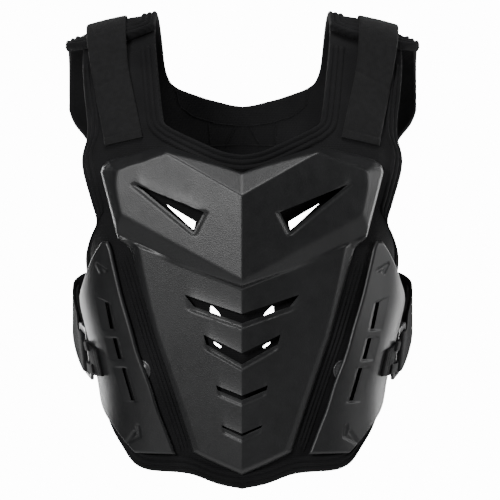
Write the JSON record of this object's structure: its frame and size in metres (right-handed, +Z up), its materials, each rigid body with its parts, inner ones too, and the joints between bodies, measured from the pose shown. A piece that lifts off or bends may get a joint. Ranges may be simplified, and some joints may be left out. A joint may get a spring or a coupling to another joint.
{
  "type": "motorcycle chest protector",
  "caption": "Padded vest with a faceted chest plate, curved side shields, hook-and-loop shoulder straps and elastic side straps on buckle frames.",
  "frame": {"origin": "midway between the undersides of the two shoulder pads, at the height where they bear on the wearer's shoulders", "axes": "+Z up towards the neck, -Y out of the front of the chest, +X to the right in a front view"},
  "size_m": [0.3978, 0.2606, 0.5243],
  "materials": {
    "padded_fabric": "matt padded knit fabric with embossed ribs",
    "moulded_shell": "satin moulded shell with a fine grain",
    "webbing": "woven webbing",
    "buckle_plastic": "smooth moulded plastic"
  },
  "bodies": {
    "root": {"front_pad": "padded_fabric", "back_pad": "padded_fabric", "chest_plate": "moulded_shell", "side_shield_right": "moulded_shell", "side_shield_left": "moulded_shell", "shoulder_strap_right": "webbing", "shoulder_strap_left": "webbing", "side_strap_right": "webbing", "side_strap_left": "webbing", "buckle_frame_right": "buckle_plastic", "buckle_frame_left": "buckle_plastic", "shield_tab_right": "webbing", "shield_tab_left": "webbing", "shield_rivet_right": "buckle_plastic", "shield_rivet_left": "buckle_plastic"}
  },
  "joints": []
}
